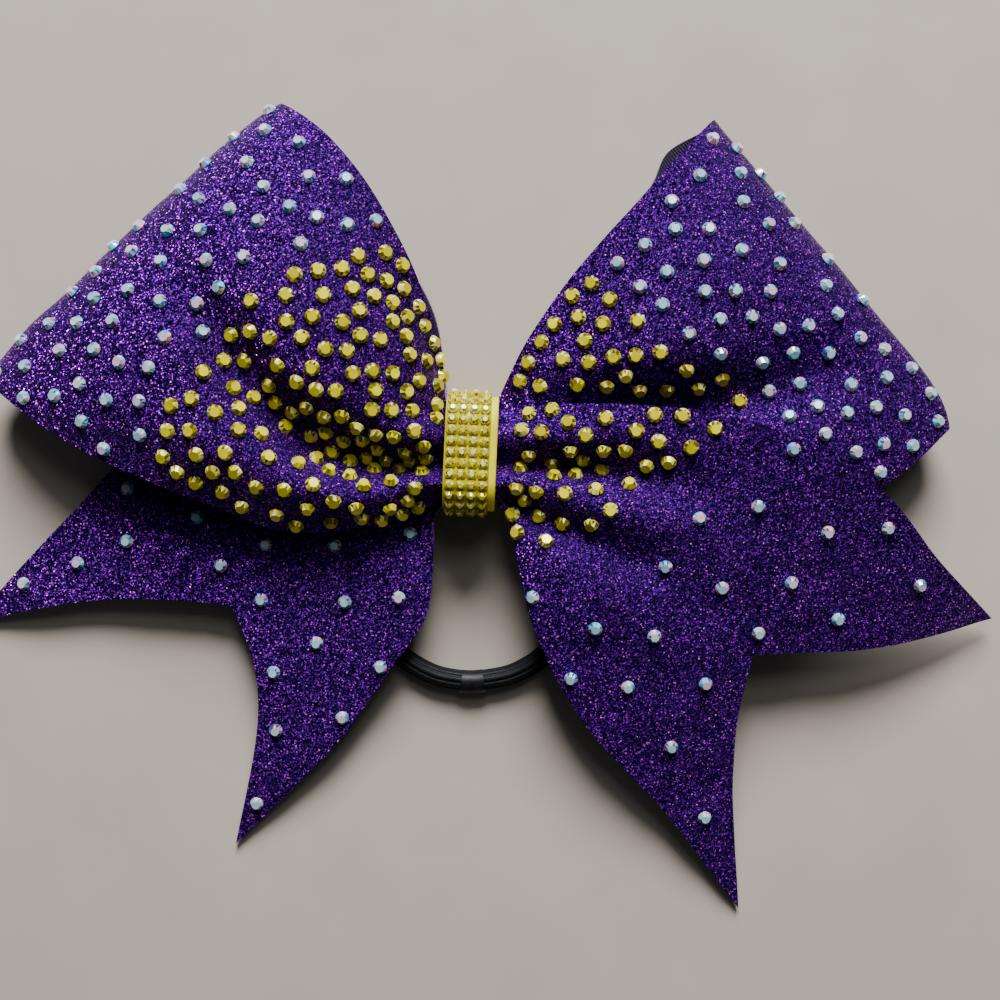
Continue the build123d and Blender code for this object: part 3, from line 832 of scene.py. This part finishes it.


# Facet colours: the stones' own tints, and the crystals' AB coating colours, with near-white painted glints
# and near-black painted dark reflections among the crown facets; the table colours vary in painted
# brightness.
CITRINE_TINTS_AND_GLINTS = {
    "tables": [(0.78, 0.70, 0.002), (0.95, 0.86, 0.01), (0.60, 0.53, 0.001), (0.88, 0.79, 0.002)],
    "crown": [
        (0.20, 0.17, 0.001), (0.42, 0.37, 0.001), (0.80, 0.74, 0.01), (0.09, 0.08, 0.001),
        (0.95, 0.92, 0.30),
    ],
}
CRYSTAL_TINTS_AND_GLINTS = {
    "tables": [(0.80, 0.86, 0.98), (0.45, 0.74, 0.98), (0.95, 0.68, 0.86), (0.55, 0.90, 0.98)],
    "crown": [
        (0.05, 0.62, 0.98), (0.45, 0.85, 0.98), (0.98, 0.28, 0.58), (0.98, 0.55, 0.34),
        (0.16, 0.28, 0.95), (0.95, 0.96, 1.00), (0.06, 0.08, 0.20), (0.12, 0.90, 0.75),
    ],
}
BAND_TINTS_AND_GLINTS = {
    "tables": [(0.76, 0.68, 0.01), (0.95, 0.90, 0.35), (0.60, 0.52, 0.004), (0.88, 0.80, 0.04)],
    "crown": [
        (0.46, 0.40, 0.002), (0.82, 0.75, 0.04), (0.97, 0.95, 0.60), (0.16, 0.13, 0.002),
        (0.66, 0.58, 0.005),
    ],
}


def band_seats():
    """Every banding stone's place and the way it faces, row by row round the wrap."""
    seats = []
    for row in range(-BAND_ROWS, BAND_ROWS + 1):
        centre, out = band_path(row * BAND_PITCH)
        for column in range(BAND_COLUMNS):
            across_band = (column - (BAND_COLUMNS - 1) / 2) * BAND_PITCH + BAND_SHIFT
            place = leaned(centre[0] + across_band, centre[1], centre[2]) / MM
            facing = leaned(*out) / MM
            seats.append((place + facing * STONE_GAP, facing))
    return seats


def make_banding(seats):
    """The moulded net that holds the banding's stones: a base strip with a raised cup round every stone."""
    inner, outer = wrap_path(0.0), wrap_path(BAND_THICK * 0.6)
    kept = [i for i, (y, z) in enumerate(outer) if z > WRAP_CORNER / 2]
    start = next(i for i in kept if (i - 1) % len(outer) not in kept)
    order = [(start + k) % len(outer) for k in range(len(kept))]
    half = BAND_WIDTH / 2
    vertices, faces = [], []
    for i in order:
        yo, zo = outer[i]
        inward = min(inner, key=lambda p: math.hypot(p[0] - yo, p[1] - zo))
        for x in (-half, half):
            vertices.append(leaned(BAND_SHIFT + x, yo, zo))
        for x in (half, -half):
            vertices.append(leaned(BAND_SHIFT + x, *inward))
    for k in range(len(order) - 1):
        for c in range(4):
            d = (c + 1) % 4
            faces.append((4 * k + c, 4 * k + d, 4 * k + 4 + d, 4 * k + 4 + c))
    last = 4 * (len(order) - 1)
    faces += [(0, 3, 2, 1), (last, last + 1, last + 2, last + 3)]
    cup_faces = tube_faces(CUP_SIDES, len(CUP_PROFILE))
    for place, facing in seats:
        turn = Vector(facing).to_track_quat("Z", "X").to_matrix()
        base = len(vertices)
        for k in range(CUP_SIDES):
            a = 2 * math.pi * k / CUP_SIDES
            for r, z in CUP_PROFILE:
                corner = Vector((r * math.cos(a), r * math.sin(a), z))
                vertices.append((Vector(place) + turn @ corner) * MM)
        faces += [tuple(base + face[i] for i in (0, 3, 2, 1)) for face in cup_faces]
    look = plain_material(
        "banding_mesh", (0.46, 0.39, 0.004), (0.62, 0.54, 0.008), 0.0010, 0.35, Specular_IOR_Level=0.4,
    )
    net = fix_facing(new_object("banding_net", vertices, faces, [look]))
    ready(net, "bow", "banding_mesh")


# ---- stones on the ribbon -----------------------------------------------------------------------

EDGE_ROOM = 0.94            # stones keep inside this share of the ribbon's width
FOLD_ROOM = 0.988           # and off the middle of a loop's fold
THROWS = 6000
END_ROOM = 0.05             # stones keep off a tail's notched end, as a share of its length


def scatter(panel, seed, tight, loose, zone, taken):
    """Places thrown at random over a panel's zone. Their spacing widens from tight at the knot to loose."""
    throw = random.Random(seed)
    draws = np.array([(throw.random(), (2 * throw.random() - 1) * EDGE_ROOM) for _ in range(THROWS)])
    u, v = draws.T
    places = panel_point(panel, u, v)
    f = bezier(panel["reach"], u)
    allowed = zone(f, v, places)
    spacing = tight + (loose - tight) * f
    others = list(panel_point(panel, *np.array(taken).T)) if taken else []
    seats = []
    for seat, place, room in zip(draws[allowed], places[allowed], spacing[allowed]):
        if all(np.linalg.norm(other - place) >= room for other in others):
            others.append(place)
            seats.append(tuple(seat))
    return seats


def left_citrine(f, v, place):
    return (f > 0.06) & (f < 0.66 - 0.07 * v - 0.17 * v * v)


def left_crystal(f, v, place):
    return (f > 0.60 - 0.07 * v - 0.17 * v * v) & (f < FOLD_ROOM)


def clear_of_tail(place):
    """Where the right tail leaves its loop uncovered."""
    edge = np.array(RIGHT_TAIL["high"])
    return place[..., 1] > np.interp(place[..., 0], edge[:, 0], edge[:, 1]) + 3


def clear_of_loop(place):
    """Where the left loop leaves its tail uncovered."""
    edge = np.array(LEFT_FRONT["low"])[::-1]
    return place[..., 1] < np.interp(place[..., 0], edge[:, 0], edge[:, 1]) - 2.5


def right_citrine(f, v, place):
    return (f > 0.06) & (f < 0.62 - 0.20 * np.maximum(v, -0.1)) & clear_of_tail(place)


def right_crystal(f, v, place):
    return (f > 0.60 - 0.20 * v) & (f < FOLD_ROOM) & clear_of_tail(place)


def right_tail_citrine(f, v, place):
    return (f > 0.05) & (f < 0.28 + 0.12 * v) & (place[..., 1] > -18)


def left_tail_crystal(f, v, place):
    return (f > 0.12) & (f < tail_end(LEFT_TAIL, v) - END_ROOM) & clear_of_loop(place)


def right_tail_crystal(f, v, place):
    return (f > 0.18) & (f < tail_end(RIGHT_TAIL, v) - END_ROOM) & ~right_tail_citrine(f, v, place)


def ribbon_seats():
    """Every ribbon stone's place along and across its panel, by colour and section."""
    citrine = {
        "left_loop": scatter(LEFT_FRONT, 3, 3.05, 4.5, left_citrine, []),
        "right_loop": scatter(RIGHT_FRONT, 7, 3.3, 5.4, right_citrine, []),
        "right_tail": scatter(RIGHT_TAIL, 11, 3.6, 5.4, right_tail_citrine, []),
    }
    crystal = {
        "left_loop": scatter(LEFT_FRONT, 5, 4.3, 5.7, left_crystal, citrine["left_loop"]),
        "right_loop": scatter(RIGHT_FRONT, 9, 4.4, 5.6, right_crystal, citrine["right_loop"]),
        "left_tail": scatter(LEFT_TAIL, 13, 9.0, 11.0, left_tail_crystal, []),
        "right_tail": scatter(RIGHT_TAIL, 17, 10.0, 12.5, right_tail_crystal, citrine["right_tail"]),
    }
    return {"citrine": citrine, "crystal": crystal}


def make_ribbon_stones(looks):
    """One group of stones for each colour on each section. A size is radius, height and table share."""
    sizes = {"citrine": (CITRINE / 2, STONE_HEIGHT, 0.64), "crystal": (CRYSTAL / 2, STONE_HEIGHT, 0.60)}
    tints_and_glints = {"citrine": CITRINE_TINTS_AND_GLINTS, "crystal": CRYSTAL_TINTS_AND_GLINTS}
    seed = 40
    for colour, sections in ribbon_seats().items():
        size = sizes[colour]
        for section, places in sections.items():
            u, v = np.array(places, float).T
            points, facings = skin(section, u, v, PLY + STONE_GAP)
            seats = list(zip(points, facings))
            seed += 1
            make_stones(
                f"{section}_{colour}_stones", seats, size, looks[colour], tints_and_glints[colour],
                seed, f"{section}_{colour}",
            )


# ---- carried-over CAD pieces, floor and light ---------------------------------------------------

def dress(node, material):
    """Give a CAD node that shows its own material."""
    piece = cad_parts[node]
    piece.data.materials.clear()
    piece.data.materials.append(material)


def dress_cad_pieces():
    pleats = woven_material("knot_ribbon", (0.012, 0.005, 0.034), (0.050, 0.022, 0.125))
    for name in ("front", "middle", "rear"):
        dress(f"knot_pleats_{name}", pleats)
    nylon = plain_material("tie_plastic", (0.60, 0.60, 0.57), (0.70, 0.70, 0.67), 0.002, 0.38)
    dress("cable_tie", nylon)
    glue = plain_material("glue", (0.62, 0.60, 0.52), (0.78, 0.76, 0.68), 0.0015, 0.25, Coat_Weight=0.4)
    dress("wrap_glue", glue)
    bond = plain_material(
        "elastic_joint", (0.003, 0.003, 0.004), (0.010, 0.010, 0.013), 0.001, 0.45, Specular_IOR_Level=0.25,
    )
    dress("elastic_joint", bond)


def make_floor():
    corners = [(-2, -2, 0), (2, -2, 0), (2, 2, 0), (-2, 2, 0)]
    floor = new_object("floor", corners, [(0, 1, 2, 3)], [floor_material()])
    floor.location.z = -0.0001


def make_light(name, place, size, power, colour):
    lamp = bpy.data.lights.new(name, "AREA")
    lamp.shape = "DISK"
    lamp.size = size
    lamp.energy = power
    lamp.color = colour
    light = bpy.data.objects.new(name, lamp)
    light.location = place
    light.rotation_mode = "QUATERNION"
    light.rotation_quaternion = (-Vector(place)).to_track_quat("-Z", "Y")
    bpy.context.scene.collection.objects.link(light)


def make_lighting():
    world = bpy.data.worlds.new("studio")
    bpy.context.scene.world = world
    world.use_nodes = True
    background = world.node_tree.nodes["Background"]
    background.inputs["Color"].default_value = (0.82, 0.88, 1.0, 1)
    background.inputs["Strength"].default_value = 0.045
    make_light("window", (0.05, 0.95, 0.70), 0.60, 33, (0.99, 0.99, 1.0))
    make_light("overhead", (0.15, 0.60, 1.15), 0.40, 1.5, (1.0, 0.98, 0.95))


def main():
    make_camera()
    make_elastic(elastic_line())
    make_ribbon()
    make_wrap()
    citrine = stone_material("citrine_stone", 0.06, 0.20, 0.10)
    crystal = stone_material("crystal_stone", 0.6, 0.14, 0.30)
    band = stone_material("banding_stone", 0.35, 0.12, 0.20)
    seats = band_seats()
    make_banding(seats)
    make_stones(
        "banding_cut_stones", seats, (BAND_STONE / 2, BAND_STONE_HEIGHT, 0.5), band, BAND_TINTS_AND_GLINTS, 31,
        "banding_stones",
    )
    make_ribbon_stones({"citrine": citrine, "crystal": crystal})
    dress_cad_pieces()
    make_floor()
    make_lighting()


main()

bpy.context.view_layer.update()
